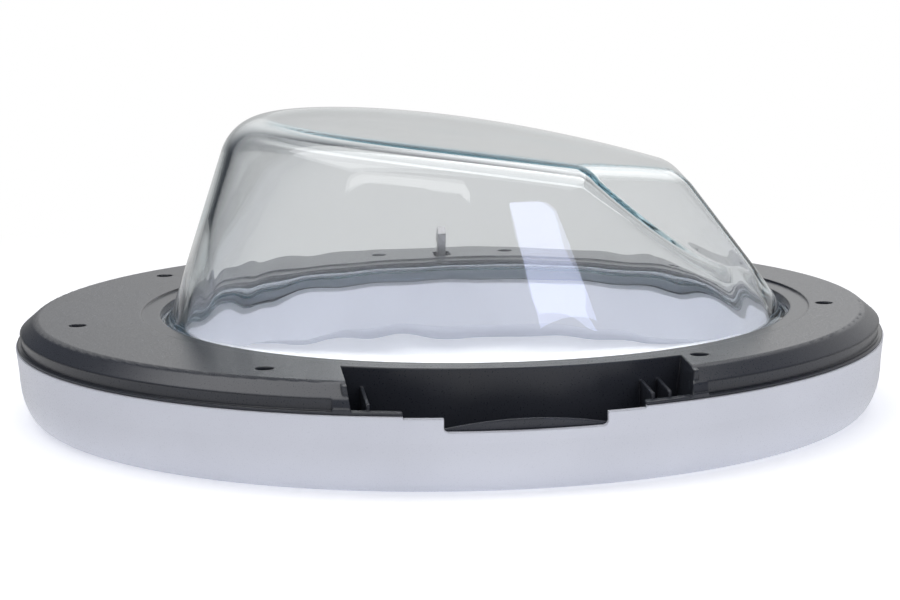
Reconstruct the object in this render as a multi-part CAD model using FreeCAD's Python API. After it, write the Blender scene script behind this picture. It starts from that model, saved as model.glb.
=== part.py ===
import FreeCAD, Part
import math
import os

# Washing machine door, lying on its front face with the glass bowl up.
# Origin: axis of the round outer frame, on the plane the door lies on.
# +Z into the drum, -Y the hinge side, +Y the latch side, +X the top of the hung door.
# All sizes are millimetres, all angles degrees.

# Overall form
GLASS_RADIUS = 165.0         # bowl's wall, outside, where it passes the inner frame's face
RING_BAND = 70.0             # from that wall to the door's rim, if both were on one axis
AXIS_OFFSET = 14.0           # glass, hinge recess and latch sit this far towards the top
FRAME_HEIGHT = 39.0          # outer frame, from the front face to its back edge
RING_RISE = 14.5             # inner frame's face above that back edge

# Outer frame's section
FRAME_WALL = 3.0
WALL_LEAN = 1.4              # the side wall draws in by this much towards the front
CORNER_WIDTH = 12.6          # front corner, a quarter ellipse
CORNER_HEIGHT = 25.5
FACE_BAND = 21.0             # flat part of the front face, inside the corner
WINDOW_INSET = 8.0           # window's edge inside the bowl's wall
WINDOW_LIP_HEIGHT = 14.0     # the dished front rises to this at the window
RIB_THICKNESS = 2.0
RIB_HEIGHT = 6.0
RIB_COUNT = 20

# Glass
GLASS_THICKNESS = 6.0
GLASS_TAPER = 18.6           # lean of the bowl's wall
BOWL_HEIGHT = 93.4           # crowned end above the inner frame's face, on the bowl's axis
BOWL_ROUND = 26.0            # rounding of the bowl's edges, outside
END_SLOPE = 8.4              # tilt of the end where it meets the axis
END_CROWN = 1250.0           # radius of the end along its fall
END_HEADING = 5.0            # plan direction in which the end falls, from +X
NEAR_SLOPE = 46.0            # facet on the hinge side
NEAR_HEADING = -28.0
NEAR_CLEAR = 15.43           # facet's distance outside the wall, at the inner frame's face
FAR_SLOPE = 53.5             # facet on the latch side
FAR_HEADING = -4.0
FAR_CLEAR = 0.75
FLANGE_WIDTH = 13.0          # clamped flange, outside the wall's radius
FLANGE_THICKNESS = 8.5
FLANGE_DROP = 5.0            # flange's top below the inner frame's face
FLANGE_ROUND = 2.0
FOOT_ROUND = 3.5             # fillet where the wall meets the flange
FLANGE_CLEARANCE = 0.4

# Inner frame
RING_WALL = 2.5
HOLE_GAP = 6.3               # round hole, outside the bowl's wall
STEP_WIDTH = 10.0            # low step round the hole
STEP_DEPTH = 1.0
CLAMP_WIDTH = 2.6            # lip under the step, pressed on the glass flange
RIM_ROUND = 5.0              # edge between the flat face and the skirt
SKIRT_WIDTH = 8.6            # skirt's run, seen from above
SKIRT_DROP = 7.2             # skirt's fall
BEAD_HEIGHT = 2.7            # bead that lies along the outer frame's edge
BEAD_INSET = 0.7
SEAM_GAP = 0.3
GROOVE_DEPTH = 1.6           # groove round the skirt, above the bead
GROOVE_END_GAP = 7.0         # groove stops this far from the hinge recess
SPIGOT_DEPTH = 3.0           # skirt's spigot inside the outer frame
SPIGOT_CLEARANCE = 0.8

# Hinge recess
RECESS_HALF_WIDTH = 84.0
RECESS_LEDGE = 10.7          # ledge left between the step and the recess
RECESS_DEPTH = 33.5
RECESS_DRAFT = 8.0           # lean of the recess's end walls
NOTCH_HALF_WIDTH = 39.3      # deep notch in the outer frame's edge
NOTCH_DEPTH = 7.9
NOTCH_ROUND = 2.5
LIP_HALF_WIDTH = 58.4        # shallow notch each side of it
LIP_DEPTH = 1.1
POCKET_RIB_OFFSETS = (-74.0, 62.6, 71.4)
POCKET_RIB = 1.6
POCKET_RIB_DROP = 10.0
SILL_RISE = 4.2              # arched sill behind the notch
SILL_STAND = 0.9             # sill's ends above the notch
SILL_THICKNESS = 2.0
HINGE_SET_IN = 12.0          # hinge screws' middle line, from the recess's back wall
HINGE_SPACING_X = 104.0
HINGE_SPACING_Y = 12.0
HINGE_SCREW_HOLE = 5.5
HINGE_THREAD_HOLE = 4.2
HINGE_PLATE_THICKNESS = 3.0
HINGE_PLATE_MARGIN = 6.0

# Screws
SCREW_HOLE = 9.4             # sunk hole for the head
SCREW_SINK = 9.0
SCREW_SHANK = 3.9
SCREW_LENGTH = 18.0
SCREW_HEAD = 7.4
SCREW_HEAD_HEIGHT = 2.6
SCREW_CLEARANCE = 0.3
SCREW_DRIVE = 3.0
BOSS_WALL = 2.2
SCREW_ANGLES = (31.7, 80.7, 130.5)
SCREW_GLASS_GAP = 8.1        # boss clear of the glass flange's collar
LATCH_SCREW_SPACING = 80.0
LATCH_SINK = 4.5             # latch screws' heads sit less deep

# Latch hook
HOOK_THICKNESS = 5.0
HOOK_SLOT_CLEARANCE = 2.7    # beside the hook
HOOK_END_CLEARANCE = 1.0     # behind and before it
HOOK_INSET = 35.5            # hook's shank inside the rim
HOOK_STAND = 16.0            # hook above the inner frame's face
HOOK_SHANK = 8.5
HOOK_NOSE = 7.0
HOOK_PIN_INSET = 45.0
HOOK_PIN_HEIGHT = 17.0
HOOK_PIN_DIAMETER = 4.0
HOOK_EYE = 9.0
HOOK_TAIL = 14.5
HOOK_ROUND = 1.0
HOOK_TRAVEL = 7.0            # hook's swing towards the glass, at the slot
HOOK_SPRING_TURNS = 3.25
HOOK_SPRING_LEG = 12.0
CHEEK_GAP = 6.4              # room beside the hook for its spring
CHEEK_THICKNESS = 2.5
CARRIER_PLATE = 3.0
CARRIER_BRIDGE = 5.0         # plate left outside the hook's slot

# Handle
HANDLE_HALF_WIDTH = 58.0
HANDLE_HEIGHT = 17.0
GRIP_LIP = 8.0               # inward lip that the fingers pull on
HANDLE_GAP = 0.8
HANDLE_SWING_GAP = 2.2       # slit at the hinge edge, for the swing
FINGER_HEIGHT = 15.5
HANDLE_PIVOT_INSET = 23.0
HANDLE_PIVOT_HEIGHT = 6.0
HANDLE_PIN_DIAMETER = 3.0
HANDLE_BARREL = 6.0
HANDLE_ARM_WIDTH = 6.0
ARM_OVERLAP = 3.5            # arm's tip under the hook's tail
HANDLE_SPRING_X = 34.0       # spring's place along the pin
HANDLE_SPRING_GAP = 9.0
HANDLE_SPRING_TURNS = 5.25
HANDLE_SPRING_LEG = 6.0
CUP_WALL = 3.0
PUSH_GAP = 0.6               # between the handle's arm and the hook's tail, at rest

# Springs and running fits
SPRING_WIRE = 1.0
SPRING_PITCH = 1.2
SPRING_CLEARANCE = 0.4
PIN_CLEARANCE = 0.05

# Sizes worked out from those above
FRAME_RADIUS = GLASS_RADIUS + RING_BAND
RING_TOP = FRAME_HEIGHT + RING_RISE
RING_UNDER = RING_TOP - RING_WALL
CORNER_RADIUS = FRAME_RADIUS - WALL_LEAN
FACE_RADIUS = CORNER_RADIUS - CORNER_WIDTH
DISH_RADIUS = FACE_RADIUS - FACE_BAND
WINDOW_RADIUS = GLASS_RADIUS - WINDOW_INSET
HOLE_RADIUS = GLASS_RADIUS + HOLE_GAP
STEP_RADIUS = HOLE_RADIUS + STEP_WIDTH
GLASS_LEAN = math.tan(math.radians(GLASS_TAPER))
FLANGE_RADIUS = GLASS_RADIUS + FLANGE_WIDTH
FLANGE_TOP = RING_TOP - FLANGE_DROP
SEAT_TOP = FLANGE_TOP - FLANGE_THICKNESS
COLLAR_RADIUS = FLANGE_RADIUS + FLANGE_CLEARANCE + FRAME_WALL
RECESS_BACK_RADIUS = STEP_RADIUS + RECESS_LEDGE
RECESS_FLOOR = RING_TOP - RECESS_DEPTH
BEAD_TOP = FRAME_HEIGHT + SEAM_GAP + BEAD_HEIGHT
SKIRT_RADIUS = FRAME_RADIUS - BEAD_INSET - GROOVE_DEPTH
RIM_RADIUS = SKIRT_RADIUS - SKIRT_WIDTH
SPIGOT_RADIUS = FRAME_RADIUS - FRAME_WALL - SPIGOT_CLEARANCE
BOSS_RADIUS = SCREW_HOLE / 2 + BOSS_WALL
SCREW_CIRCLE = COLLAR_RADIUS + AXIS_OFFSET + SCREW_GLASS_GAP
SCREW_SEAT = RING_TOP - SCREW_SINK
HOOK_Y = FRAME_RADIUS - HOOK_INSET
HOOK_PIN_Y = FRAME_RADIUS - HOOK_PIN_INSET
HANDLE_PIVOT_Y = FRAME_RADIUS - HANDLE_PIVOT_INSET
SCREW_BOSS_RADIUS = SCREW_SHANK / 2 + BOSS_WALL
SCREW_TIP = SCREW_SEAT - SCREW_LENGTH
LATCH_SCREW_SEAT = RING_TOP - LATCH_SINK
CARRIER_TOP = LATCH_SCREW_SEAT - RING_WALL
HINGE_Y = -(RECESS_BACK_RADIUS + HINGE_SET_IN)
HINGE_PLATE_LOW = RECESS_FLOOR - RING_WALL - HINGE_PLATE_THICKNESS
HANDLE_EDGE_Y = HANDLE_PIVOT_Y - HANDLE_BARREL / 4
CUP_BACK_Y = HANDLE_PIVOT_Y - HANDLE_BARREL / 2 - HANDLE_GAP
CUP_END = HANDLE_HALF_WIDTH + HANDLE_GAP + CUP_WALL
CUP_TOP = FRAME_HEIGHT - SPIGOT_DEPTH - SEAM_GAP
TAIL_LOW = HOOK_PIN_HEIGHT - HOOK_EYE / 8
ARM_TOP = TAIL_LOW - PUSH_GAP
ARM_TIP_Y = HOOK_PIN_Y + HOOK_TAIL - ARM_OVERLAP
CHEEK_OUT = CUP_BACK_Y - CUP_WALL - HANDLE_GAP
HOOK_SLOT_IN = HOOK_Y - HOOK_SHANK / 2 - HOOK_END_CLEARANCE - HOOK_TRAVEL
HOOK_SLOT_OUT = HOOK_Y + HOOK_SHANK / 2 + HOOK_END_CLEARANCE
CARRIER_IN = COLLAR_RADIUS + HANDLE_GAP
CARRIER_OUT = HOOK_SLOT_OUT + CARRIER_BRIDGE
FAR = 2 * FRAME_RADIUS       # longer than the door, for cutting tools


def point(r, z):
    """Point of a section in the XZ half plane."""
    return FreeCAD.Vector(r, 0, z)


def line_face(points):
    """Flat face inside a closed outline of straight lines."""
    return Part.Face(Part.makePolygon(list(points) + [points[0]]))


def turn(face, axis_x=0.0, angle=360.0):
    """Turn a section round the vertical axis that stands at axis_x."""
    solid = face.revolve(FreeCAD.Vector(0, 0, 0), FreeCAD.Vector(0, 0, 1), angle)
    solid.translate(FreeCAD.Vector(axis_x, 0, 0))
    return solid


def disc(radius, low, high, x=0.0, y=0.0):
    """Upright cylinder between two heights."""
    return Part.makeCylinder(radius, high - low, FreeCAD.Vector(x, y, low))


def tube(outer, inner, low, high, x=0.0, y=0.0):
    """Upright tube between two heights."""
    return disc(outer, low, high, x, y).cut(disc(inner, low, high, x, y))


def block(x0, x1, y0, y1, z0, z1):
    """Box between two corners."""
    return Part.makeBox(x1 - x0, y1 - y0, z1 - z0, FreeCAD.Vector(x0, y0, z0))


def bar_x(radius, x0, x1, y, z):
    """Round bar along X."""
    return Part.makeCylinder(radius, x1 - x0, FreeCAD.Vector(x0, y, z), FreeCAD.Vector(1, 0, 0))


def plate_x(outline, x0, x1):
    """Plate whose outline of (y, z) points stands across X."""
    face = line_face([FreeCAD.Vector(x0, y, z) for y, z in outline])
    return face.extrude(FreeCAD.Vector(x1 - x0, 0, 0))


def on_circle(radius, angle):
    """Point on a circle round the origin, at an angle from the hinge side."""
    turned = math.radians(angle - 90)
    return radius * math.cos(turned), radius * math.sin(turned)


def frame_skin(inset, base, top):
    """Outer frame's rim as a filled form, drawn in by inset, between two heights."""
    middle = point(FACE_RADIUS, CORNER_HEIGHT)
    low = point(FACE_RADIUS, base)
    side = point(CORNER_RADIUS - inset, CORNER_HEIGHT)
    ellipse = Part.Ellipse(low, side, middle)
    outline = [
        Part.ArcOfEllipse(ellipse, 0, math.pi / 2).toShape(),
        Part.makeLine(side, point(FRAME_RADIUS - inset, top)),
        Part.makeLine(point(FRAME_RADIUS - inset, top), point(0, top)),
        Part.makeLine(point(0, top), point(0, base)),
        Part.makeLine(point(0, base), low),
    ]
    return turn(Part.Face(Part.Wire(outline)))


def frame_inside(clear):
    """Room inside the outer frame's wall, less a clearance."""
    return frame_skin(FRAME_WALL + clear, FRAME_WALL, RING_TOP)


def dish(raised):
    """Filled form under the dished front, from the flat band up to the window's edge."""
    wide = Part.makeCircle(DISH_RADIUS, FreeCAD.Vector(0, 0, raised))
    narrow = Part.makeCircle(WINDOW_RADIUS, FreeCAD.Vector(AXIS_OFFSET, 0, WINDOW_LIP_HEIGHT + raised))
    return Part.makeLoft([Part.Wire(wide), Part.Wire(narrow)], True, True)


def screw_places():
    """Places of the frame screws, in mirrored pairs from the hinge side round to the latch side."""
    return [on_circle(SCREW_CIRCLE, side * angle) for angle in SCREW_ANGLES for side in (-1, 1)]


def latch_screw_places():
    """Places of the two screws that hold the latch carrier."""
    return [(AXIS_OFFSET + side * LATCH_SCREW_SPACING / 2, HOOK_Y) for side in (-1, 1)]


def hinge_screw_places():
    """Places of the four hinge screws on the recess floor."""
    return [
        (AXIS_OFFSET + sx * HINGE_SPACING_X / 2, HINGE_Y + sy * HINGE_SPACING_Y / 2)
        for sx in (-1, 1) for sy in (-1, 1)
    ]


def handle_cut(gap, top):
    """Space that the handle takes from the outer frame's rim."""
    half = HANDLE_HALF_WIDTH + gap
    return block(
        AXIS_OFFSET - half, AXIS_OFFSET + half,
        HANDLE_EDGE_Y - HANDLE_SWING_GAP, FAR, -FRAME_WALL, top,
    )


def hinge_notch():
    """Stepped notch in the outer frame's edge, where the hinge arm passes."""
    deep = block(
        AXIS_OFFSET - NOTCH_HALF_WIDTH, AXIS_OFFSET + NOTCH_HALF_WIDTH, -FAR, 0,
        FRAME_HEIGHT - NOTCH_DEPTH, FRAME_HEIGHT + NOTCH_DEPTH,
    )
    corners = [e for e in deep.Edges if abs(e.tangentAt(e.FirstParameter).y) > 0.9
               and e.CenterOfMass.z < FRAME_HEIGHT]
    deep = deep.makeFillet(NOTCH_ROUND, corners)
    shallow = block(
        AXIS_OFFSET - LIP_HALF_WIDTH, AXIS_OFFSET + LIP_HALF_WIDTH, -FAR, 0,
        FRAME_HEIGHT - LIP_DEPTH, FRAME_HEIGHT + LIP_DEPTH,
    )
    return deep.fuse(shallow)


def frame_ribs():
    """Low radial ribs that stiffen the front, inside the moulding."""
    blade = block(WINDOW_RADIUS + AXIS_OFFSET, FACE_RADIUS, -RIB_THICKNESS / 2, RIB_THICKNESS / 2,
                  FRAME_WALL / 2, FRAME_WALL + RIB_HEIGHT)
    ribs = []
    for i in range(RIB_COUNT):
        rib = blade.copy()
        angle = (i + 0.5) * 360.0 / RIB_COUNT
        rib.rotate(FreeCAD.Vector(0, 0, 0), FreeCAD.Vector(0, 0, 1), angle)
        middle = rib.BoundBox.Center
        beside_handle = middle.y > 0 and abs(middle.x - AXIS_OFFSET) < CUP_END + RIB_HEIGHT
        if not beside_handle:
            ribs.append(rib)
    return [rib.cut(dish(0)) for rib in ribs]


def finger_cup():
    """Walls that line the finger space behind the handle and carry its pin."""
    x0 = AXIS_OFFSET - CUP_END
    x1 = AXIS_OFFSET + CUP_END
    back = block(x0, x1, CUP_BACK_Y - CUP_WALL, CUP_BACK_Y, FRAME_WALL / 2, CUP_TOP)
    ends = [
        block(x, x + CUP_WALL, CUP_BACK_Y - CUP_WALL, FRAME_RADIUS, FRAME_WALL / 2, CUP_TOP)
        for x in (x0, x1 - CUP_WALL)
    ]
    rim = frame_skin(FRAME_WALL / 2, FRAME_WALL / 2, FRAME_HEIGHT)
    roof = block(x0, x1, CUP_BACK_Y - CUP_WALL, FRAME_RADIUS, CUP_TOP - CUP_WALL, CUP_TOP)
    walls = back.fuse([piece.common(rim) for piece in ends + [roof]])
    half_slot = HANDLE_ARM_WIDTH / 2 + HANDLE_GAP
    slot = block(AXIS_OFFSET - half_slot, AXIS_OFFSET + half_slot, CUP_BACK_Y - FRAME_WALL * 2,
                 CUP_BACK_Y + FRAME_WALL, HANDLE_PIVOT_HEIGHT - HANDLE_BARREL / 2, ARM_TOP + FRAME_WALL)
    return walls.cut(slot)


def outer_frame():
    """White moulded ring: rim, flat band, dished front, window tube and glass seat."""
    skin = frame_skin(0, 0, FRAME_HEIGHT)
    hollow = frame_skin(FRAME_WALL, FRAME_WALL, FRAME_HEIGHT + FRAME_WALL)
    front = dish(0)
    shell = skin.cut(hollow).cut(front)
    shell = shell.fuse(dish(FRAME_WALL).cut(front))
    window_tube = disc(WINDOW_RADIUS + FRAME_WALL, WINDOW_LIP_HEIGHT, SEAT_TOP, AXIS_OFFSET)
    seat = disc(COLLAR_RADIUS, SEAT_TOP - FRAME_WALL, SEAT_TOP, AXIS_OFFSET)
    collar = tube(COLLAR_RADIUS, FLANGE_RADIUS + FLANGE_CLEARANCE, SEAT_TOP - FRAME_WALL,
                  FLANGE_TOP - STEP_DEPTH, AXIS_OFFSET)
    bosses = [disc(SCREW_BOSS_RADIUS, FRAME_WALL / 2, SCREW_SEAT - RING_WALL, x, y)
              for x, y in screw_places()]
    posts = [disc(SCREW_BOSS_RADIUS, FRAME_WALL / 2, HINGE_PLATE_LOW - SEAM_GAP, AXIS_OFFSET + x, HINGE_Y)
             for x in (-HINGE_SPACING_X / 4, HINGE_SPACING_X / 4)]
    shell = shell.fuse([window_tube, seat, collar] + bosses + posts + frame_ribs())
    shell = shell.cut(disc(WINDOW_RADIUS, -FRAME_WALL, RING_TOP, AXIS_OFFSET))
    shell = shell.cut(handle_cut(HANDLE_GAP, HANDLE_HEIGHT + FINGER_HEIGHT))
    shell = shell.fuse(finger_cup())
    pilots = [disc(SCREW_SHANK / 2 + PIN_CLEARANCE, SCREW_TIP - SCREW_CLEARANCE, RING_TOP, x, y)
              for x, y in screw_places()]
    pin_reach = CUP_END + SEAM_GAP
    pin_hole = bar_x(HANDLE_PIN_DIAMETER / 2 + PIN_CLEARANCE, AXIS_OFFSET - pin_reach,
                     AXIS_OFFSET + pin_reach, HANDLE_PIVOT_Y, HANDLE_PIVOT_HEIGHT)
    return shell.cut(pilots + [pin_hole, hinge_notch()]).removeSplitter()


def half_space(at, heading, slope):
    """Large block on the outer side of a plane that falls by slope towards heading."""
    outside = Part.makeBox(FAR, FAR, FAR, FreeCAD.Vector(-FAR / 2, -FAR / 2, 0))
    tilt = FreeCAD.Rotation(FreeCAD.Vector(0, 1, 0), slope)
    swing = FreeCAD.Rotation(FreeCAD.Vector(0, 0, 1), heading)
    outside.Placement = FreeCAD.Placement(at, swing.multiply(tilt))
    return outside


def crowned_end(inset):
    """Lying cylinder whose upper side is the bowl's end."""
    swing = FreeCAD.Rotation(FreeCAD.Vector(0, 0, 1), END_HEADING)
    lean = swing.multiply(FreeCAD.Rotation(FreeCAD.Vector(0, 1, 0), END_SLOPE))
    outwards = lean.multVec(FreeCAD.Vector(0, 0, 1))
    across = lean.multVec(FreeCAD.Vector(0, 1, 0))
    roller = Part.makeCylinder(END_CROWN - inset, FAR, FreeCAD.Vector(0, 0, -FAR / 2))
    turn = FreeCAD.Rotation(-outwards, -outwards.cross(-across), across, "ZXY")
    end = FreeCAD.Vector(AXIS_OFFSET, 0, RING_TOP + BOWL_HEIGHT)
    roller.Placement = FreeCAD.Placement(end - outwards * END_CROWN, turn).multiply(roller.Placement)
    return roller


def bowl_form(inset, low):
    """Bowl as a filled form: a cone with a crowned end and two facets, with rounded edges."""
    at_ring = GLASS_RADIUS - inset / math.cos(math.radians(GLASS_TAPER))
    high = RING_TOP + 1.5 * BOWL_HEIGHT
    form = Part.makeCone(
        at_ring + (RING_TOP - low) * GLASS_LEAN, at_ring + (RING_TOP - high) * GLASS_LEAN, high - low,
        FreeCAD.Vector(AXIS_OFFSET, 0, low),
    )
    form = form.common(crowned_end(inset))
    facets = (
        (GLASS_RADIUS + NEAR_CLEAR, NEAR_HEADING, NEAR_SLOPE),
        (GLASS_RADIUS + FAR_CLEAR, FAR_HEADING, FAR_SLOPE),
    )
    for reach, heading, slope in facets:
        turned = math.radians(heading)
        on_plane = FreeCAD.Vector(
            AXIS_OFFSET + reach * math.cos(turned), reach * math.sin(turned),
            RING_TOP - inset / math.cos(math.radians(slope)),
        )
        form = form.cut(half_space(on_plane, heading, slope))
    upper = [e for e in form.Edges if e.BoundBox.ZMin > low + FLANGE_ROUND]
    return form.makeFillet(BOWL_ROUND - inset, upper)


def glass_bowl():
    """Pressed glass bowl with its clamped flange."""
    flange = disc(FLANGE_RADIUS, SEAT_TOP, FLANGE_TOP, AXIS_OFFSET)
    flange = flange.makeFillet(FLANGE_ROUND, [e for e in flange.Edges if e.Closed])
    outside = bowl_form(0, SEAT_TOP).fuse(flange)
    foot = [e for e in outside.Edges if e.Closed and abs(e.CenterOfMass.z - FLANGE_TOP) < SEAM_GAP
            and e.BoundBox.XLength < 2 * (FLANGE_RADIUS - FLANGE_ROUND)]
    outside = outside.makeFillet(FOOT_ROUND, foot)
    return outside.cut(bowl_form(GLASS_THICKNESS, SEAT_TOP - FLANGE_ROUND))


def ring_section():
    """Section of the inner frame: flat face, skirt, bead and spigot."""
    skirt_low = RING_TOP - SKIRT_DROP
    inner = HOLE_RADIUS - AXIS_OFFSET - STEP_WIDTH
    outline = [
        point(inner, RING_TOP),
        point(RIM_RADIUS, RING_TOP),
        point(SKIRT_RADIUS, skirt_low),
        point(SKIRT_RADIUS + BEAD_INSET, BEAD_TOP),
        point(FRAME_RADIUS - BEAD_INSET, BEAD_TOP),
        point(FRAME_RADIUS - BEAD_INSET, FRAME_HEIGHT + SEAM_GAP),
        point(SPIGOT_RADIUS, FRAME_HEIGHT + SEAM_GAP),
        point(SPIGOT_RADIUS, FRAME_HEIGHT - SPIGOT_DEPTH),
        point(SPIGOT_RADIUS - RING_WALL, FRAME_HEIGHT - SPIGOT_DEPTH),
        point(SPIGOT_RADIUS - RING_WALL, skirt_low - RING_WALL),
        point(RIM_RADIUS - RING_WALL / 2, RING_UNDER),
        point(inner, RING_UNDER),
    ]
    return line_face(outline)


def recess_form(grow, low, high):
    """Hinge recess as a filled form with drafted ends, grown outwards by a wall."""
    top_half = RECESS_HALF_WIDTH + grow
    low_half = top_half - (RING_TOP - low) * math.tan(math.radians(RECESS_DRAFT))
    high_half = top_half + (high - RING_TOP) * math.tan(math.radians(RECESS_DRAFT))
    outline = [
        FreeCAD.Vector(AXIS_OFFSET - low_half, 0, low),
        FreeCAD.Vector(AXIS_OFFSET + low_half, 0, low),
        FreeCAD.Vector(AXIS_OFFSET + high_half, 0, high),
        FreeCAD.Vector(AXIS_OFFSET - high_half, 0, high),
    ]
    prism = line_face(outline).extrude(FreeCAD.Vector(0, -FAR, 0))
    return prism.cut(disc(RECESS_BACK_RADIUS - grow, low, high, AXIS_OFFSET))


def sill_cut():
    """Space above the arched sill, between the two pockets."""
    high = RING_TOP + RING_WALL
    arch_radius = (NOTCH_HALF_WIDTH ** 2 + SILL_RISE ** 2) / (2 * SILL_RISE)
    crest = FRAME_HEIGHT - NOTCH_DEPTH + SILL_STAND + SILL_RISE
    gap = block(AXIS_OFFSET - LIP_HALF_WIDTH, AXIS_OFFSET + LIP_HALF_WIDTH, -FAR, 0,
                FRAME_HEIGHT - NOTCH_DEPTH, high)
    arch = Part.makeCylinder(arch_radius, FAR, FreeCAD.Vector(AXIS_OFFSET, 0, crest - arch_radius),
                             FreeCAD.Vector(0, -1, 0))
    return gap.cut([arch, disc(RECESS_BACK_RADIUS, 0, high, AXIS_OFFSET)])


def skirt_groove():
    """Groove round the skirt, with round ends short of the hinge recess."""
    low = BEAD_TOP - BEAD_HEIGHT / 2
    high = RING_TOP - SKIRT_DROP
    ring = tube(FRAME_RADIUS, SKIRT_RADIUS - GROOVE_DEPTH / 2, low, high)
    stop_half = RECESS_HALF_WIDTH + GROOVE_END_GAP
    keep_out = block(AXIS_OFFSET - stop_half, AXIS_OFFSET + stop_half, -FAR, 0, low, high)
    return ring.cut(keep_out)


def screw_cup(x, y, low):
    """Sunk screw hole's wall, down from the face to the boss below it."""
    return disc(BOSS_RADIUS, low, RING_TOP - STEP_DEPTH / 2, x, y)


def screw_sink(x, y, seat):
    """Space for a sunk screw: wide for the head, narrow for the shank."""
    head = disc(SCREW_HOLE / 2, seat, RING_TOP + RING_WALL, x, y)
    shank = disc(SCREW_SHANK / 2 + SCREW_CLEARANCE, seat - 2 * RING_WALL, seat, x, y)
    return head.fuse(shank)


def hook_slot(low, high):
    """Slot that the latch hook stands and swings in."""
    half = HOOK_THICKNESS / 2 + HOOK_SLOT_CLEARANCE
    return block(AXIS_OFFSET - half, AXIS_OFFSET + half, HOOK_SLOT_IN, HOOK_SLOT_OUT, low, high)


def inner_frame():
    """Grey moulded ring that clamps the glass and holds the hinge recess."""
    high = RING_TOP + RING_WALL
    ring = turn(ring_section())
    brim = [e for e in ring.Edges if e.Closed and e.CenterOfMass.z > RING_UNDER + RING_WALL / 2
            and e.BoundBox.XLength > 2 * HOLE_RADIUS]
    ring = ring.makeFillet(RIM_ROUND, brim)
    step_plate = disc(STEP_RADIUS + RING_WALL, RING_UNDER - STEP_DEPTH, RING_TOP, AXIS_OFFSET)
    clamp = disc(HOLE_RADIUS + CLAMP_WIDTH, FLANGE_TOP, RING_UNDER, AXIS_OFFSET)
    tub = recess_form(RING_WALL, RECESS_FLOOR - RING_WALL, RING_TOP - STEP_DEPTH)
    tub = tub.common(frame_inside(SPIGOT_CLEARANCE))
    places = screw_places()
    cups = [screw_cup(x, y, SCREW_SEAT - RING_WALL) for x, y in places]
    cups += [screw_cup(x, y, CARRIER_TOP) for x, y in latch_screw_places()]
    ring = ring.fuse([step_plate, clamp, tub] + cups)
    ring = ring.cut(disc(STEP_RADIUS, RING_TOP - STEP_DEPTH, high, AXIS_OFFSET))
    ring = ring.cut(disc(HOLE_RADIUS, 0, high, AXIS_OFFSET))
    ring = ring.cut(skirt_groove())
    recess = recess_form(0, RECESS_FLOOR, high)
    inside = recess.common(frame_inside(SPIGOT_CLEARANCE + SILL_THICKNESS))
    above_bar = recess_form(0, BEAD_TOP - BEAD_HEIGHT / 2, high)
    ring = ring.cut([inside, above_bar, sill_cut()])
    ring = ring.fuse([pocket_rib(offset) for offset in POCKET_RIB_OFFSETS])
    holes = [screw_sink(x, y, SCREW_SEAT) for x, y in places]
    holes += [screw_sink(x, y, LATCH_SCREW_SEAT) for x, y in latch_screw_places()]
    holes += [disc(HINGE_SCREW_HOLE / 2, 0, high, x, y) for x, y in hinge_screw_places()]
    holes.append(hook_slot(RING_UNDER - STEP_DEPTH - RING_WALL, high))
    return ring.cut(holes).removeSplitter()


def pocket_rib(offset):
    """Thin upright rib in an end pocket of the hinge recess."""
    x = AXIS_OFFSET + offset
    rib = block(x - POCKET_RIB / 2, x + POCKET_RIB / 2, -FAR, 0,
                RECESS_FLOOR - RING_WALL / 2, RING_TOP - POCKET_RIB_DROP)
    rib = rib.cut(disc(RECESS_BACK_RADIUS - RING_WALL / 2, 0, RING_TOP, AXIS_OFFSET))
    return rib.common(frame_inside(SPIGOT_CLEARANCE + SILL_THICKNESS / 2))


def hinge_plate():
    """Steel plate under the recess floor, with threads for the hinge screws."""
    half_x = HINGE_SPACING_X / 2 + HINGE_PLATE_MARGIN
    half_y = HINGE_SPACING_Y / 2 + HINGE_PLATE_MARGIN
    plate = block(AXIS_OFFSET - half_x, AXIS_OFFSET + half_x, HINGE_Y - half_y, HINGE_Y + half_y,
                  HINGE_PLATE_LOW, HINGE_PLATE_LOW + HINGE_PLATE_THICKNESS)
    corners = [e for e in plate.Edges if abs(e.tangentAt(e.FirstParameter).z) > 0.9]
    plate = plate.makeFillet(HINGE_PLATE_MARGIN / 2, corners)
    return plate.cut([disc(HINGE_THREAD_HOLE / 2, 0, RING_TOP, x, y) for x, y in hinge_screw_places()])


def screw(x, y, seat):
    """Pan head screw with a six-sided socket, its head on the seat."""
    shank = SCREW_SHANK / 2
    head = SCREW_HEAD / 2
    tip = seat - SCREW_LENGTH
    shoulder = seat + SCREW_HEAD_HEIGHT / 2
    crown = seat + SCREW_HEAD_HEIGHT
    section = Part.Wire([
        Part.makeLine(point(0, tip), point(shank / 2, tip)),
        Part.makeLine(point(shank / 2, tip), point(shank, tip + SCREW_SHANK)),
        Part.makeLine(point(shank, tip + SCREW_SHANK), point(shank, seat)),
        Part.makeLine(point(shank, seat), point(head, seat)),
        Part.makeLine(point(head, seat), point(head, shoulder)),
        Part.makeLine(point(head, shoulder), point(head / 2, crown)),
        Part.makeLine(point(head / 2, crown), point(0, crown)),
        Part.makeLine(point(0, crown), point(0, tip)),
    ])
    body = turn(Part.Face(section))
    floor = seat + SCREW_HEAD_HEIGHT / 3
    corners = [FreeCAD.Vector(*on_circle(SCREW_DRIVE / 2, 60 * i), floor) for i in range(6)]
    body = body.cut(line_face(corners).extrude(FreeCAD.Vector(0, 0, SCREW_HEAD_HEIGHT)))
    body.translate(FreeCAD.Vector(x, y, 0))
    return body


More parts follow.
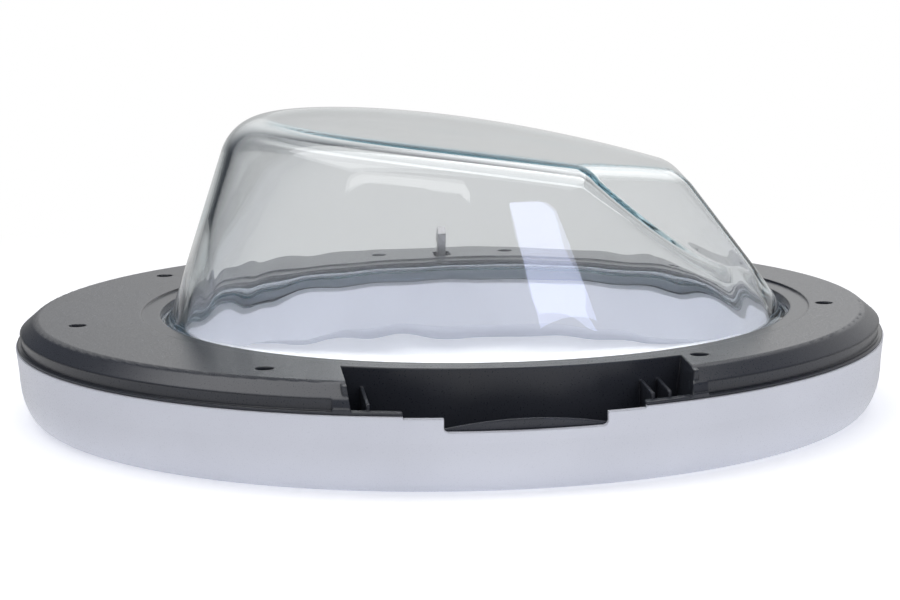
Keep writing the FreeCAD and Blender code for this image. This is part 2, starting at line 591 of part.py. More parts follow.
def latch_carrier():
    """Bracket under the inner frame: two cheeks for the hook's pin and two screw lugs."""
    reach = LATCH_SCREW_SPACING / 2 + BOSS_RADIUS
    under = CARRIER_TOP - CARRIER_PLATE
    plate = block(AXIS_OFFSET - reach, AXIS_OFFSET + reach, CARRIER_IN, CARRIER_OUT, under, CARRIER_TOP)
    corners = [e for e in plate.Edges if abs(e.tangentAt(e.FirstParameter).z) > 0.9]
    plate = plate.makeFillet(CARRIER_PLATE, corners)
    eye = HOOK_EYE / 2
    cheek = [
        (CARRIER_IN, CARRIER_TOP - CARRIER_PLATE / 2),
        (CHEEK_OUT, CARRIER_TOP - CARRIER_PLATE / 2),
        (HOOK_PIN_Y + eye, HOOK_PIN_HEIGHT + eye),
        (HOOK_PIN_Y + eye, HOOK_PIN_HEIGHT - eye),
        (HOOK_PIN_Y - eye, HOOK_PIN_HEIGHT - eye),
        (HOOK_PIN_Y - eye, HOOK_PIN_HEIGHT + eye),
    ]
    pieces = []
    for side in (-1, 1):
        near = AXIS_OFFSET + side * (HOOK_THICKNESS / 2 + CHEEK_GAP)
        far = near + side * CHEEK_THICKNESS
        pieces.append(plate_x(cheek, min(near, far), max(near, far)))
    tip = LATCH_SCREW_SEAT - SCREW_LENGTH
    pieces += [disc(SCREW_BOSS_RADIUS, tip, CARRIER_TOP - CARRIER_PLATE / 2, x, y)
               for x, y in latch_screw_places()]
    carrier = plate.fuse(pieces)
    pilots = [disc(SCREW_SHANK / 2 + PIN_CLEARANCE, tip - SCREW_CLEARANCE, RING_TOP, x, y)
              for x, y in latch_screw_places()]
    pin_hole = bar_x(HOOK_PIN_DIAMETER / 2 + PIN_CLEARANCE, -FAR, FAR, HOOK_PIN_Y, HOOK_PIN_HEIGHT)
    return carrier.cut(pilots + [pin_hole, hook_slot(0, RING_TOP)])


def latch_hook():
    """Steel hook: eye on the pin, tail over the handle's arm, nose turned to the rim."""
    top = RING_TOP + HOOK_STAND
    inner = HOOK_Y - HOOK_SHANK / 2
    outer = HOOK_Y + HOOK_SHANK / 2
    eye = HOOK_EYE / 2
    outline = [
        (HOOK_PIN_Y - eye, HOOK_PIN_HEIGHT),
        (inner, HOOK_PIN_HEIGHT + 2 * HOOK_EYE),
        (inner, top - HOOK_SHANK / 2),
        (HOOK_Y, top),
        (outer, top - HOOK_SHANK / 4),
        (outer + HOOK_NOSE, top - HOOK_SHANK),
        (outer + HOOK_NOSE, top - HOOK_SHANK * 1.25),
        (outer, top - HOOK_SHANK * 1.15),
        (outer, HOOK_PIN_HEIGHT + 2 * HOOK_EYE),
        (HOOK_PIN_Y + eye, HOOK_PIN_HEIGHT + eye),
        (HOOK_PIN_Y + HOOK_TAIL, HOOK_PIN_HEIGHT + eye * 0.7),
        (HOOK_PIN_Y + HOOK_TAIL, TAIL_LOW),
        (HOOK_PIN_Y + eye * 0.8, TAIL_LOW),
        (HOOK_PIN_Y, HOOK_PIN_HEIGHT - eye),
    ]
    half = HOOK_THICKNESS / 2
    hook = plate_x(outline, AXIS_OFFSET - half, AXIS_OFFSET + half)
    across = [e for e in hook.Edges if abs(e.tangentAt(e.FirstParameter).x) > 0.9]
    hook = hook.makeFillet(HOOK_ROUND, across)
    hook = hook.fuse(bar_x(eye, AXIS_OFFSET - half, AXIS_OFFSET + half, HOOK_PIN_Y, HOOK_PIN_HEIGHT))
    return hook.cut(bar_x(HOOK_PIN_DIAMETER / 2 + PIN_CLEARANCE, -FAR, FAR, HOOK_PIN_Y, HOOK_PIN_HEIGHT))


def pin(diameter, half_length, y, z):
    """Plain steel pin along X with chamfered ends."""
    body = bar_x(diameter / 2, AXIS_OFFSET - half_length, AXIS_OFFSET + half_length, y, z)
    return body.makeChamfer(diameter / 8, [e for e in body.Edges if e.Closed])


def door_handle():
    """Pull handle: a piece of the rim with a hinge barrel and an arm that lifts the hook's tail."""
    low_x = AXIS_OFFSET - HANDLE_HALF_WIDTH
    high_x = AXIS_OFFSET + HANDLE_HALF_WIDTH
    skin = frame_skin(0, 0, FRAME_HEIGHT).cut(frame_skin(FRAME_WALL, FRAME_WALL, FRAME_HEIGHT + FRAME_WALL))
    shell = skin.common(block(low_x, high_x, HANDLE_EDGE_Y, FAR, -FRAME_WALL, HANDLE_HEIGHT))
    grip = frame_skin(FRAME_WALL / 2, FRAME_WALL / 2, FRAME_HEIGHT)
    grip = grip.cut(frame_skin(GRIP_LIP, GRIP_LIP, FRAME_HEIGHT + FRAME_WALL))
    grip = grip.common(block(low_x, high_x, HANDLE_PIVOT_Y, FAR, HANDLE_HEIGHT - FRAME_WALL, HANDLE_HEIGHT))
    barrel = bar_x(HANDLE_BARREL / 2, low_x, high_x, HANDLE_PIVOT_Y, HANDLE_PIVOT_HEIGHT)
    foot = block(low_x, high_x, HANDLE_EDGE_Y, HANDLE_PIVOT_Y + HANDLE_BARREL / 2, 0, HANDLE_PIVOT_HEIGHT)
    arm = plate_x([
        (HANDLE_PIVOT_Y, HANDLE_PIVOT_HEIGHT + HANDLE_BARREL / 2),
        (ARM_TIP_Y + HANDLE_ARM_WIDTH / 2, ARM_TOP),
        (ARM_TIP_Y, ARM_TOP),
        (ARM_TIP_Y, ARM_TOP - HANDLE_ARM_WIDTH / 2),
        (HANDLE_PIVOT_Y - HANDLE_BARREL / 2, HANDLE_PIVOT_HEIGHT),
    ], AXIS_OFFSET - HANDLE_ARM_WIDTH / 2, AXIS_OFFSET + HANDLE_ARM_WIDTH / 2)
    gap_low = HANDLE_PIVOT_HEIGHT - HANDLE_BARREL / 2 - SPRING_CLEARANCE
    spring_gap = block(HANDLE_SPRING_X, HANDLE_SPRING_X + HANDLE_SPRING_GAP, 0,
                       HANDLE_PIVOT_Y + HANDLE_BARREL, gap_low, HANDLE_HEIGHT)
    handle = shell.fuse([grip, barrel, foot, arm]).cut(spring_gap)
    bore = bar_x(HANDLE_PIN_DIAMETER / 2 + PIN_CLEARANCE, -FAR, FAR, HANDLE_PIVOT_Y, HANDLE_PIVOT_HEIGHT)
    return handle.cut(bore).removeSplitter()


def torsion_spring(pin_diameter, turns, leg):
    """Torsion spring round a pin along X at the origin: a close coil, one leg up and one to the rim."""
    radius = pin_diameter / 2 + SPRING_WIRE
    climb = SPRING_PITCH * turns
    helix = Part.makeHelix(SPRING_PITCH, climb, radius)
    start = FreeCAD.Vector(radius, 0, 0)
    along = FreeCAD.Vector(0, 1, SPRING_PITCH / (2 * math.pi * radius)).normalize()
    tail = start - along * leg
    swing = FreeCAD.Rotation(FreeCAD.Vector(0, 0, 1), 360.0 * turns)
    finish = swing.multVec(start) + FreeCAD.Vector(0, 0, climb)
    tip = finish + swing.multVec(along) * leg
    path = Part.Wire([Part.makeLine(tail, start)] + helix.Edges + [Part.makeLine(finish, tip)])
    section = Part.Wire(Part.makeCircle(SPRING_WIRE / 2, tail, along))
    spring = path.makePipeShell([section], True, True)
    spring.rotate(FreeCAD.Vector(0, 0, 0), FreeCAD.Vector(0, 0, 1), -90)
    spring.rotate(FreeCAD.Vector(0, 0, 0), FreeCAD.Vector(0, 1, 0), 90)
    return spring


def hook_spring():
    """Spring that swings the hook's nose out to the rim."""
    spring = torsion_spring(HOOK_PIN_DIAMETER, HOOK_SPRING_TURNS, HOOK_SPRING_LEG)
    beside = AXIS_OFFSET + HOOK_THICKNESS / 2 + SPRING_WIRE / 2 + SPRING_CLEARANCE
    spring.translate(FreeCAD.Vector(beside, HOOK_PIN_Y, HOOK_PIN_HEIGHT))
    return spring


def handle_spring():
    """Spring that presses the handle back into the rim."""
    spring = torsion_spring(HANDLE_PIN_DIAMETER, HANDLE_SPRING_TURNS, HANDLE_SPRING_LEG)
    beside = HANDLE_SPRING_X + SPRING_WIRE / 2 + SPRING_CLEARANCE
    spring.translate(FreeCAD.Vector(beside, HANDLE_PIVOT_Y, HANDLE_PIVOT_HEIGHT))
    return spring


def build():
    """All pieces of the door by name."""
    frame_screws = Part.Compound([screw(x, y, SCREW_SEAT) for x, y in screw_places()])
    latch_screws = Part.Compound([screw(x, y, LATCH_SCREW_SEAT) for x, y in latch_screw_places()])
    hook_pin_half = HOOK_THICKNESS / 2 + CHEEK_GAP + CHEEK_THICKNESS + SPRING_WIRE
    return {
        "outer_frame": outer_frame(),
        "inner_frame": inner_frame(),
        "glass_bowl": glass_bowl(),
        "hinge_plate": hinge_plate(),
        "latch_carrier": latch_carrier(),
        "latch_hook": latch_hook(),
        "hook_pin": pin(HOOK_PIN_DIAMETER, hook_pin_half, HOOK_PIN_Y, HOOK_PIN_HEIGHT),
        "hook_spring": hook_spring(),
        "door_handle": door_handle(),
        "handle_pin": pin(HANDLE_PIN_DIAMETER, CUP_END, HANDLE_PIVOT_Y, HANDLE_PIVOT_HEIGHT),
        "handle_spring": handle_spring(),
        "frame_screws": frame_screws,
        "latch_screws": latch_screws,
    }


os.makedirs("parts", exist_ok=True)
for name, shape in build().items():
    shape.exportStep(f"parts/{name}.step")
    print(name, shape.isValid(), len(shape.Solids), round(shape.Volume))
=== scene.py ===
"""Dressed scene of a front loader's door that lies on its front face, with its glass bowl up."""
import logging
import math
from dataclasses import dataclass
from enum import Enum
from typing import Any

import bpy
from mathutils import Matrix, Vector


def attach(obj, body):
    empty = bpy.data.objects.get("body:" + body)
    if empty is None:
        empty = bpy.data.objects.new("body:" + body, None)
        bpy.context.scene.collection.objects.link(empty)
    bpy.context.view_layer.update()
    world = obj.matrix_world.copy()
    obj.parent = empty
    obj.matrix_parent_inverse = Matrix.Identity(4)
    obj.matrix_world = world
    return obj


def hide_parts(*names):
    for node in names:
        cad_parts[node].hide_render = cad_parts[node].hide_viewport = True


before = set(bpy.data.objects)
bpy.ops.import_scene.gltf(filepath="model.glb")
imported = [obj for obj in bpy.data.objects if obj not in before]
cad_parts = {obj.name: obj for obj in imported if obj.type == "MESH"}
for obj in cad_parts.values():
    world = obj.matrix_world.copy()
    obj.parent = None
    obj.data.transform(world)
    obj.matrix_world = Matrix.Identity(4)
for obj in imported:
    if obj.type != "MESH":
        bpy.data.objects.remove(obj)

LOG = logging.getLogger("door")
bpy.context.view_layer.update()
DOOR_BODY = "door"
MM = 0.001
QUARTER_TURN = 90.0
IMAGE_WIDTH = 900
SENSOR_WIDTH = 36.0
# Most values of a noise node lie in this span.
NOISE_SPAN = (0.3, 0.7)
# A new plane lists its corners row by row, so the last two change places for a round of four.
PLANE_ORDER = (0, 1, 3, 2)
# Diffuse Depth counts in whole numbers, so this tells none from one.
FIRST_DIFFUSE = 0.5


class Slot(str, Enum):
    """The record's material slots."""

    WHITE = "white_plastic"
    GREY = "grey_plastic"
    GLASS = "clear_glass"
    ZINC = "zinc_steel"
    BLACK = "black_plastic"
    HOOK = "hook_steel"
    SPRING = "spring_steel"
    SCREW = "screw_steel"


def linear(hex_colour: str) -> tuple[float, float, float, float]:
    """Turns an sRGB hex colour into linear RGBA.

    Args:
        hex_colour: Six hex digits with a leading hash.

    Returns:
        Linear red, green, blue and an alpha of 1.
    """
    parts = [int(hex_colour[i:i + 2], 16) / 255.0 for i in (1, 3, 5)]
    red, green, blue = (p / 12.92 if p <= 0.04045 else ((p + 0.055) / 1.055) ** 2.4 for p in parts)
    return (red, green, blue, 1.0)


def per_metre(size_mm: float) -> float:
    """Gives the scale of a noise on Object coordinates whose blots are that many millimetres wide.

    Args:
        size_mm: Width of one blot in millimetres.

    Returns:
        The scale for a texture node.
    """
    return 1.0 / (size_mm * MM)


def add_node(tree: bpy.types.NodeTree, kind: str, settings: dict[Any, Any] | None = None,
             links: dict[Any, bpy.types.NodeSocket] | None = None) -> bpy.types.Node:
    """Adds one node with its settings and incoming links.

    Args:
        tree: The node tree that takes the node.
        kind: Blender's type name for the node.
        settings: Socket values by socket name or index, and properties by attribute name.
        links: Source sockets by the name or index of the socket that they feed.

    Returns:
        The new node.
    """
    node = tree.nodes.new(kind)
    for key, value in (settings or {}).items():
        if isinstance(key, int) or key in node.inputs.keys():
            node.inputs[key].default_value = value
        else:
            setattr(node, key, value)
    for key, source in (links or {}).items():
        tree.links.new(source, node.inputs[key])
    return node


def new_material(name: str) -> bpy.types.Material:
    """Makes an empty node material.

    Args:
        name: The material's name.

    Returns:
        A material with nodes on and an empty tree.
    """
    material = bpy.data.materials.new(name)
    material.use_nodes = True
    material.node_tree.nodes.clear()
    return material


def two_stop_ramp(node: bpy.types.Node, low: tuple[float, ...], high: tuple[float, ...],
                  start: float, end: float) -> None:
    """Sets a colour ramp to run from one colour to another.

    Args:
        node: The colour ramp node.
        low: Colour at the start.
        high: Colour at the end.
        start: Place of the first stop.
        end: Place of the last stop.
    """
    first, last = node.color_ramp.elements
    first.position, first.color = start, low
    last.position, last.color = end, high


@dataclass(frozen=True)
class MouldedPlastic:
    """Injection-moulded plastic with a fine eroded tool texture and a slow drift of tone."""

    name: str
    tone: str
    deep_tone: str
    roughness: tuple[float, float]
    grain_mm: float
    grain_depth_mm: float
    edge_mm: float
    specular: float = 0.5
    ior: float = 1.53
    cloud_mm: float = 70.0
    cloud_detail: float = 3.0
    cloud_span: tuple[float, float] = (0.35, 0.65)
    grain_detail: float = 2.0
    edge_samples: int = 8

    def material(self) -> bpy.types.Material:
        """Builds the plastic.

        Returns:
            The finished material.
        """
        material = new_material(self.name)
        tree = material.node_tree
        place = add_node(tree, "ShaderNodeTexCoord").outputs["Object"]
        cloud = add_node(tree, "ShaderNodeTexNoise",
                         {"Scale": per_metre(self.cloud_mm), "Detail": self.cloud_detail},
                         {"Vector": place})
        tone = add_node(tree, "ShaderNodeValToRGB", links={"Fac": cloud.outputs["Fac"]})
        two_stop_ramp(tone, linear(self.deep_tone), linear(self.tone), *self.cloud_span)
        grain = add_node(tree, "ShaderNodeTexNoise",
                         {"Scale": per_metre(self.grain_mm), "Detail": self.grain_detail},
                         {"Vector": place})
        gloss = add_node(tree, "ShaderNodeMapRange",
                         {"From Min": NOISE_SPAN[0], "From Max": NOISE_SPAN[1],
                          "To Min": self.roughness[0], "To Max": self.roughness[1]},
                         {"Value": grain.outputs["Fac"]})
        edge = add_node(tree, "ShaderNodeBevel",
                        {"Radius": self.edge_mm * MM, "samples": self.edge_samples})
        relief = add_node(tree, "ShaderNodeBump",
                          {"Strength": 1.0, "Distance": self.grain_depth_mm * MM},
                          {"Height": grain.outputs["Fac"], "Normal": edge.outputs["Normal"]})
        surface = add_node(tree, "ShaderNodeBsdfPrincipled",
                           {"IOR": self.ior, "Specular IOR Level": self.specular},
                           {"Base Color": tone.outputs["Color"],
                            "Roughness": gloss.outputs["Result"],
                            "Normal": relief.outputs["Normal"]})
        add_node(tree, "ShaderNodeOutputMaterial", links={"Surface": surface.outputs["BSDF"]})
        return material


@dataclass(frozen=True)
class PlatedSteel:
    """Steel with a thin plated coat and fine scuffs that break up its shine."""

    name: str
    tone: str
    deep_tone: str
    roughness: tuple[float, float]
    scuff_mm: float
    scuff_depth_mm: float
    scuff_detail: float = 4.0
    edge_mm: float = 0.3
    edge_samples: int = 6

    def material(self) -> bpy.types.Material:
        """Builds the steel.

        Returns:
            The finished material.
        """
        material = new_material(self.name)
        tree = material.node_tree
        place = add_node(tree, "ShaderNodeTexCoord").outputs["Object"]
        scuff = add_node(tree, "ShaderNodeTexNoise",
                         {"Scale": per_metre(self.scuff_mm), "Detail": self.scuff_detail},
                         {"Vector": place})
        tone = add_node(tree, "ShaderNodeValToRGB", links={"Fac": scuff.outputs["Fac"]})
        two_stop_ramp(tone, linear(self.deep_tone), linear(self.tone), *NOISE_SPAN)
        gloss = add_node(tree, "ShaderNodeMapRange",
                         {"From Min": NOISE_SPAN[0], "From Max": NOISE_SPAN[1],
                          "To Min": self.roughness[0], "To Max": self.roughness[1]},
                         {"Value": scuff.outputs["Fac"]})
        edge = add_node(tree, "ShaderNodeBevel",
                        {"Radius": self.edge_mm * MM, "samples": self.edge_samples})
        relief = add_node(tree, "ShaderNodeBump",
                          {"Strength": 1.0, "Distance": self.scuff_depth_mm * MM},
                          {"Height": scuff.outputs["Fac"], "Normal": edge.outputs["Normal"]})
        surface = add_node(tree, "ShaderNodeBsdfPrincipled", {"Metallic": 1.0},
                           {"Base Color": tone.outputs["Color"],
                            "Roughness": gloss.outputs["Result"],
                            "Normal": relief.outputs["Normal"]})
        add_node(tree, "ShaderNodeOutputMaterial", links={"Surface": surface.outputs["BSDF"]})
        return material


@dataclass(frozen=True)
class PressedGlass:
    """Soda-lime glass from a press mould: clear, blue-green in depth, its faces gently wavy."""

    name: str
    tint: str
    density: float
    wave_mm: float
    wave_depth_mm: float
    wave_detail: float = 1.0
    face_tone: str = "#ffffff"
    ior: float = 1.51

    def material(self) -> bpy.types.Material:
        """Builds the glass.

        Returns:
            The finished material.
        """
        material = new_material(self.name)
        tree = material.node_tree
        place = add_node(tree, "ShaderNodeTexCoord").outputs["Object"]
        wave = add_node(tree, "ShaderNodeTexNoise",
                        {"Scale": per_metre(self.wave_mm), "Detail": self.wave_detail},
                        {"Vector": place})
        relief = add_node(tree, "ShaderNodeBump",
                          {"Strength": 1.0, "Distance": self.wave_depth_mm * MM},
                          {"Height": wave.outputs["Fac"]})
        surface = add_node(tree, "ShaderNodeBsdfPrincipled",
                           {"Base Color": linear(self.face_tone), "Roughness": 0.0,
                            "IOR": self.ior, "Transmission Weight": 1.0},
                           {"Normal": relief.outputs["Normal"]})
        depth = add_node(tree, "ShaderNodeVolumeAbsorption",
                         {"Color": linear(self.tint), "Density": self.density})
        add_node(tree, "ShaderNodeOutputMaterial",
                 links={"Surface": surface.outputs["BSDF"], "Volume": depth.outputs["Volume"]})
        return material


# Satin white ABS: a cool white that the light drifts over softly, with a sheen too broad to
# mirror. The grain of all plastics here is drawn coarser than the tool's own, so that it shows.
WHITE_ABS = MouldedPlastic("white_abs_satin_moulded", "#d2d5df", "#cccfd9", (0.26, 0.36),
                           grain_mm=0.6, grain_depth_mm=0.006, edge_mm=1.4)
# Dark grey polypropylene: a fine eroded texture that shines grey where it is seen flat.
GREY_PP = MouldedPlastic("grey_polypropylene_textured", "#343740", "#2f323a", (0.26, 0.36),
                         grain_mm=0.7, grain_depth_mm=0.004, edge_mm=1.5, specular=0.6)
# Black acetal: slick, close and almost without grain.
BLACK_POM = MouldedPlastic("black_acetal_moulded", "#1c1d20", "#17181a", (0.28, 0.36),
                           grain_mm=0.5, grain_depth_mm=0.006, edge_mm=0.3)
# Zinc-plated sheet: pale grey with a soft spangle.
ZINC_SHEET = PlatedSteel("zinc_plated_sheet_steel", "#bfc3c8", "#a4a8ad", (0.30, 0.46),
                         scuff_mm=3.0, scuff_depth_mm=0.010)
# Nickel-plated pressing: a plain grey with a dull shine, worn smooth.
NICKEL_HOOK = PlatedSteel("nickel_plated_pressed_steel", "#b2b0b2", "#9a989a", (0.30, 0.42),
                          scuff_mm=2.0, scuff_depth_mm=0.008)
# Drawn spring wire: darker, with a bluish oil film.
SPRING_WIRE = PlatedSteel("drawn_spring_steel_wire", "#8d9096", "#74777d", (0.24, 0.36),
                          scuff_mm=1.0, scuff_depth_mm=0.006)
# Screw steel, blackened in a passivating bath.
SCREW_STEEL = PlatedSteel("blackened_screw_steel", "#55565a", "#434448", (0.32, 0.48),
                          scuff_mm=0.8, scuff_depth_mm=0.008)
# Pressed bowl glass: clear with a thick, cool edge and slow waves left by the mould.
BOWL_GLASS = PressedGlass("pressed_soda_lime_glass", "#dcecf0",
                          density=18.0, wave_mm=60.0, wave_depth_mm=0.04)

FINISHES: dict[Slot, MouldedPlastic | PlatedSteel | PressedGlass] = {
    Slot.WHITE: WHITE_ABS,
    Slot.GREY: GREY_PP,
    Slot.GLASS: BOWL_GLASS,
    Slot.ZINC: ZINC_SHEET,
    Slot.BLACK: BLACK_POM,
    Slot.HOOK: NICKEL_HOOK,
    Slot.SPRING: SPRING_WIRE,
    Slot.SCREW: SCREW_STEEL,
}


def deselect() -> None:
    """Leaves nothing selected, so that the next operator acts on one new piece."""
    if bpy.context.object and bpy.context.object.mode != "OBJECT":
        bpy.ops.object.mode_set(mode="OBJECT")
    bpy.ops.object.select_all(action="DESELECT")


def activate(piece: bpy.types.Object) -> None:
    """Selects one piece alone and makes it active.

    Args:
        piece: The object that the next operator acts on.
    """
    deselect()
    piece.select_set(True)
    bpy.context.view_layer.objects.active = piece


def dress(piece: bpy.types.Object, material: bpy.types.Material) -> None:
    """Gives a piece one material all over.

    Args:
        piece: The mesh object.
        material: Its material.
    """
    if not piece.material_slots:
        piece.data.materials.append(material)
    for place in piece.material_slots:
        place.material = material


@dataclass(frozen=True)
class Facet:
    """A face of the bowl: its reach from the axis where that is measured, its heading and slope."""

    reach: float
    heading: float
    slope: float

    def normal(self) -> Vector:
        """Gives the unit normal that points out of the glass.

        Returns:
            The normal.
        """
        turn, lean = math.radians(self.heading), math.radians(self.slope)
        return Vector((math.sin(lean) * math.cos(turn), math.sin(lean) * math.sin(turn),
                       math.cos(lean)))

    def point(self, axis_offset: float, height: float) -> Vector:
        """Gives a point of the face, in millimetres.

        Args:
            axis_offset: The bowl axis's place along X.
            height: Height at which the reach is measured.

        Returns:
            The point.
        """
        turn = math.radians(self.heading)
        return Vector((axis_offset + self.reach * math.cos(turn), self.reach * math.sin(turn),
                       height))


@dataclass(frozen=True)
class GlassBowl:
    """The pressed glass: a cone with a crowned end and two facets, all rounded, on a flange.

    Lengths are in millimetres and angles in degrees.
    """

    axis_offset: float = 14.0
    ring_top: float = 53.5
    wall_radius: float = 165.0
    taper: float = 18.6
    height: float = 93.4
    end: Facet = Facet(reach=0.0, heading=5.0, slope=8.4)
    end_crown: float = 1250.0
    end_strips: int = 64
    facets: tuple[Facet, ...] = (
        Facet(reach=180.43, heading=-28.0, slope=46.0),
        Facet(reach=165.75, heading=-4.0, slope=53.5),
    )
    rounding: float = 26.0
    thickness: float = 6.0
    flange_radius: float = 177.8
    flange_top: float = 48.3
    flange_round: float = 2.0
    seat: float = 40.2
    foot_round: float = 6.0
    inner_round: float = 8.0
    round_steps: int = 8
    segments: int = 288
    rings: int = 160
    core_sides: int = 512
    core_overshoot: float = 1.5
    cut_threshold: float = 1e-6
    smooth_angle: float = 35.0
    ripple_width: float = 25.0
    ripple_depth: float = 1.3
    ripple_fade: tuple[float, float] = (68.0, 112.0)
    ripple_rise: float = 6.0
    ripple_calm: float = 0.06

    def wall_at(self, height: float, inset: float = 0.0) -> float:
        """Gives the cone's radius at a height.

        Args:
            height: Height above the floor in millimetres.
            inset: Distance that the wall is moved inwards, square to itself.

        Returns:
            The radius in millimetres.
        """
        lean = math.radians(self.taper)
        return self.wall_radius + (self.ring_top - height) * math.tan(lean) - inset / math.cos(lean)

    def core(self) -> bpy.types.Object:
        """Models the sharp-edged form that lies one rounding inside the glass.

        Returns:
            The core, used only to round the skins.
        """
        low, high = -self.wall_radius, self.ring_top + self.core_overshoot * self.height
        deselect()
        bpy.ops.mesh.primitive_cone_add(
            vertices=self.core_sides, radius1=self.wall_at(low, self.rounding) * MM,
            radius2=self.wall_at(high, self.rounding) * MM, depth=(high - low) * MM,
            location=(self.axis_offset * MM, 0.0, (low + high) / 2.0 * MM))
        core = bpy.context.object
        bpy.ops.object.transform_apply(location=True, rotation=False, scale=False)
        bpy.ops.object.mode_set(mode="EDIT")
        for point, normal in self.planes():
            bpy.ops.mesh.select_all(action="SELECT")
            bpy.ops.mesh.bisect(plane_co=(point - normal * self.rounding) * MM, plane_no=normal,
                                use_fill=True, clear_outer=True, threshold=self.cut_threshold)
        bpy.ops.object.mode_set(mode="OBJECT")
        return core

    def planes(self) -> list[tuple[Vector, Vector]]:
        """Gives the planes that bound the bowl above its wall.

        Narrow strips of the crowned end come first, then the facets.

        Returns:
            A point in millimetres and the outward normal of each plane.
        """
        swing = Matrix.Rotation(math.radians(self.end.heading), 3, "Z")
        top = self.end.point(self.axis_offset, self.ring_top + self.height)
        middle = top - self.end.normal() * self.end_crown
        spread = self.wall_radius / self.end_crown
        planes = []
        for step in range(-self.end_strips, self.end_strips + 1):
            lean = math.radians(self.end.slope) + spread * step / self.end_strips
            normal = swing @ Vector((math.sin(lean), 0.0, math.cos(lean)))
            planes.append((middle + normal * self.end_crown, normal))
        for facet in self.facets:
            planes.append((facet.point(self.axis_offset, self.ring_top), facet.normal()))
        return planes

    def foot(self, radius: float, level: float, rounding: float) -> list[tuple[float, float]]:
        """Gives the round in which the wall runs out into a level face, from the wall down.

        Args:
            radius: The wall's radius at the level face.
            level: The level face's height.
            rounding: The round's own radius.

        Returns:
            Radius and height of each step, in millimetres.
        """
        turn = math.radians(QUARTER_TURN - self.taper)
        reach = radius + rounding * math.tan(turn / 2.0)
        angles = [turn * (1.0 - step / self.round_steps) for step in range(self.round_steps + 1)]
        return [(reach - rounding * math.sin(angle), level + rounding * (1.0 - math.cos(angle)))
                for angle in angles]

    def brim(self) -> list[tuple[float, float]]:
        """Gives the flange's rounded rim from its top face to its seat.

        Returns:
            Radius and height of each step, in millimetres.
        """
        rounding = self.flange_round
        inside = self.flange_radius - rounding
        quarters = ((self.flange_top - rounding, 0.0), (self.seat + rounding, QUARTER_TURN))
        steps = []
        for centre, start in quarters:
            for step in range(self.round_steps + 1):
                angle = math.radians(start + QUARTER_TURN * step / self.round_steps)
                steps.append((inside + rounding * math.sin(angle),
                              centre + rounding * math.cos(angle)))
        return steps

    def sweep(self, skin: bpy.types.Object, profile: list[tuple[float, float]]) -> None:
        """Carries a skin's open edge on along a turned profile.

        Args:
            skin: The open skin.
            profile: Radius and height of each step, the first of them at the skin's edge.
        """
        activate(skin)
        bpy.ops.object.mode_set(mode="EDIT")
        bpy.ops.mesh.select_mode(type="EDGE")
        bpy.ops.mesh.select_all(action="DESELECT")
        bpy.ops.mesh.select_non_manifold()
        for (radius, height), (wider, lower) in zip(profile, profile[1:]):
            drop = (0.0, 0.0, (lower - height) * MM)
            bpy.ops.mesh.extrude_region_move(TRANSFORM_OT_translate={"value": drop})
            bpy.ops.transform.resize(value=(wider / radius, wider / radius, 1.0),
                                     center_override=(self.axis_offset * MM, 0.0, lower * MM))
        bpy.ops.object.mode_set(mode="OBJECT")

    def ripple(self, skin: bpy.types.Object) -> None:
        """Leaves the mould's slow ripples in a skin's lower wall, strongest on the two sides.

        Args:
            skin: The open skin.
        """
        wall = skin.vertex_groups.new(name="lower_wall")
        low, high = self.ripple_fade
        start = min(vertex.co.z for vertex in skin.data.vertices) / MM
        for vertex in skin.data.vertices:
            height = vertex.co.z / MM
            share = min((height - start) / self.ripple_rise, (high - height) / (high - low))
            share = min(max(share, 0.0), 1.0)
            aside = abs(vertex.co.x / MM - self.axis_offset) / self.wall_radius
            strength = self.ripple_calm + (1.0 - self.ripple_calm) * aside
            wall.add([vertex.index], share * strength, "REPLACE")
        cloud = bpy.data.textures.new("mould_ripple", "CLOUDS")
        cloud.noise_scale = self.ripple_width * MM
        cloud.noise_depth = 0
        activate(skin)
        press = skin.modifiers.new("press", "DISPLACE")
        press.texture = cloud
        press.texture_coords = "LOCAL"
        press.strength = self.ripple_depth * MM
        press.vertex_group = wall.name
        bpy.ops.object.modifier_apply(modifier=press.name)
        skin.vertex_groups.clear()

    def skin(self, core: bpy.types.Object, offset: float, foot: float) -> bpy.types.Object:
        """Wraps a round skin at a steady distance from the core and trims its foot.

        Args:
            core: The sharp-edged form.
            offset: Distance from the core in millimetres.
            foot: Height at which the skin ends.

        Returns:
            The open skin, facing outwards.
        """
        deselect()
        bpy.ops.mesh.primitive_uv_sphere_add(
            segments=self.segments, ring_count=self.rings,
            radius=(self.wall_radius + self.height) * MM,
            location=(self.axis_offset * MM, 0.0, self.seat * MM))
        skin = bpy.context.object
        bpy.ops.object.transform_apply(location=True, rotation=False, scale=False)
        wrap = skin.modifiers.new("wrap", "SHRINKWRAP")
        wrap.target = core
        wrap.wrap_method = "NEAREST_SURFACEPOINT"
        wrap.wrap_mode = "OUTSIDE_SURFACE"
        wrap.offset = offset * MM
        bpy.ops.object.modifier_apply(modifier=wrap.name)
        bpy.ops.object.mode_set(mode="EDIT")
        bpy.ops.mesh.select_all(action="SELECT")
        bpy.ops.mesh.bisect(plane_co=(0.0, 0.0, foot * MM), plane_no=(0.0, 0.0, 1.0),
                            clear_inner=True, threshold=self.cut_threshold)
        bpy.ops.object.mode_set(mode="OBJECT")
        return skin

